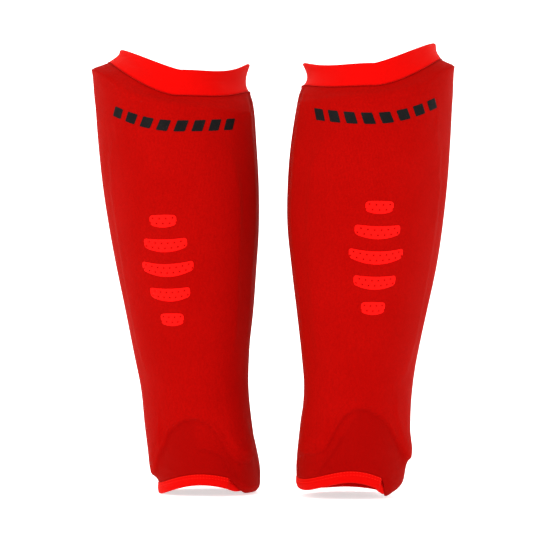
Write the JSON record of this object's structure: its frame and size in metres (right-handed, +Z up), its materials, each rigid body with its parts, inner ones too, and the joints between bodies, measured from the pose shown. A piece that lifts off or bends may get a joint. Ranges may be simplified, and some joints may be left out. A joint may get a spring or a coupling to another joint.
{
  "type": "hockey shin guards",
  "caption": "Slip-on field hockey shin guards: red knit sleeves with a foam pad and hard shell sewn into a front pocket, folded collar and hem bands.",
  "frame": {"origin": "centre of the pair's bounding box, at the level of the hems", "axes": "+Z up the leg, -Y to the front of the shins, the left guard as seen from the front at -X"},
  "size_m": [0.2589, 0.1561, 0.32],
  "materials": {
    "knit_red": "matt stretch knit",
    "knit_red_back": "matt stretch knit",
    "lining": "smooth brushed knit",
    "foam": "closed-cell foam",
    "shell": "satin moulded",
    "band_red": "smooth bright knit",
    "elastic": "woven elastic",
    "thread_dark": "sewing thread",
    "thread_bright": "sewing thread",
    "print_black": "printed film",
    "print_red": "printed film",
    "label": "satin ribbon"
  },
  "bodies": {
    "left_guard": {"left_front_panel": "knit_red", "left_back_panel": "knit_red_back", "left_pocket_liner": "lining", "left_shin_pad": "foam", "left_hard_shell": "shell", "left_collar_band": "band_red", "left_collar_elastic": "elastic", "left_hem_band": "band_red", "left_hem_elastic": "elastic", "left_inner_seam": "thread_dark", "left_outer_seam": "thread_dark", "left_collar_seam": "thread_dark", "left_hem_stitching": "thread_bright", "left_bar_print": "print_black", "left_ladder_print": "print_red", "left_care_label": "label"},
    "right_guard": {"right_front_panel": "knit_red", "right_back_panel": "knit_red_back", "right_pocket_liner": "lining", "right_shin_pad": "foam", "right_hard_shell": "shell", "right_collar_band": "band_red", "right_collar_elastic": "elastic", "right_hem_band": "band_red", "right_hem_elastic": "elastic", "right_inner_seam": "thread_dark", "right_outer_seam": "thread_dark", "right_collar_seam": "thread_dark", "right_hem_stitching": "thread_bright", "right_bar_print": "print_black", "right_ladder_print": "print_red", "right_care_label": "label"}
  },
  "joints": [
    {"name": "pair_spread", "type": "slide", "parent": "left_guard", "child": "right_guard", "axis": [1, 0, 0], "range_m": [0, 0.25]}
  ]
}
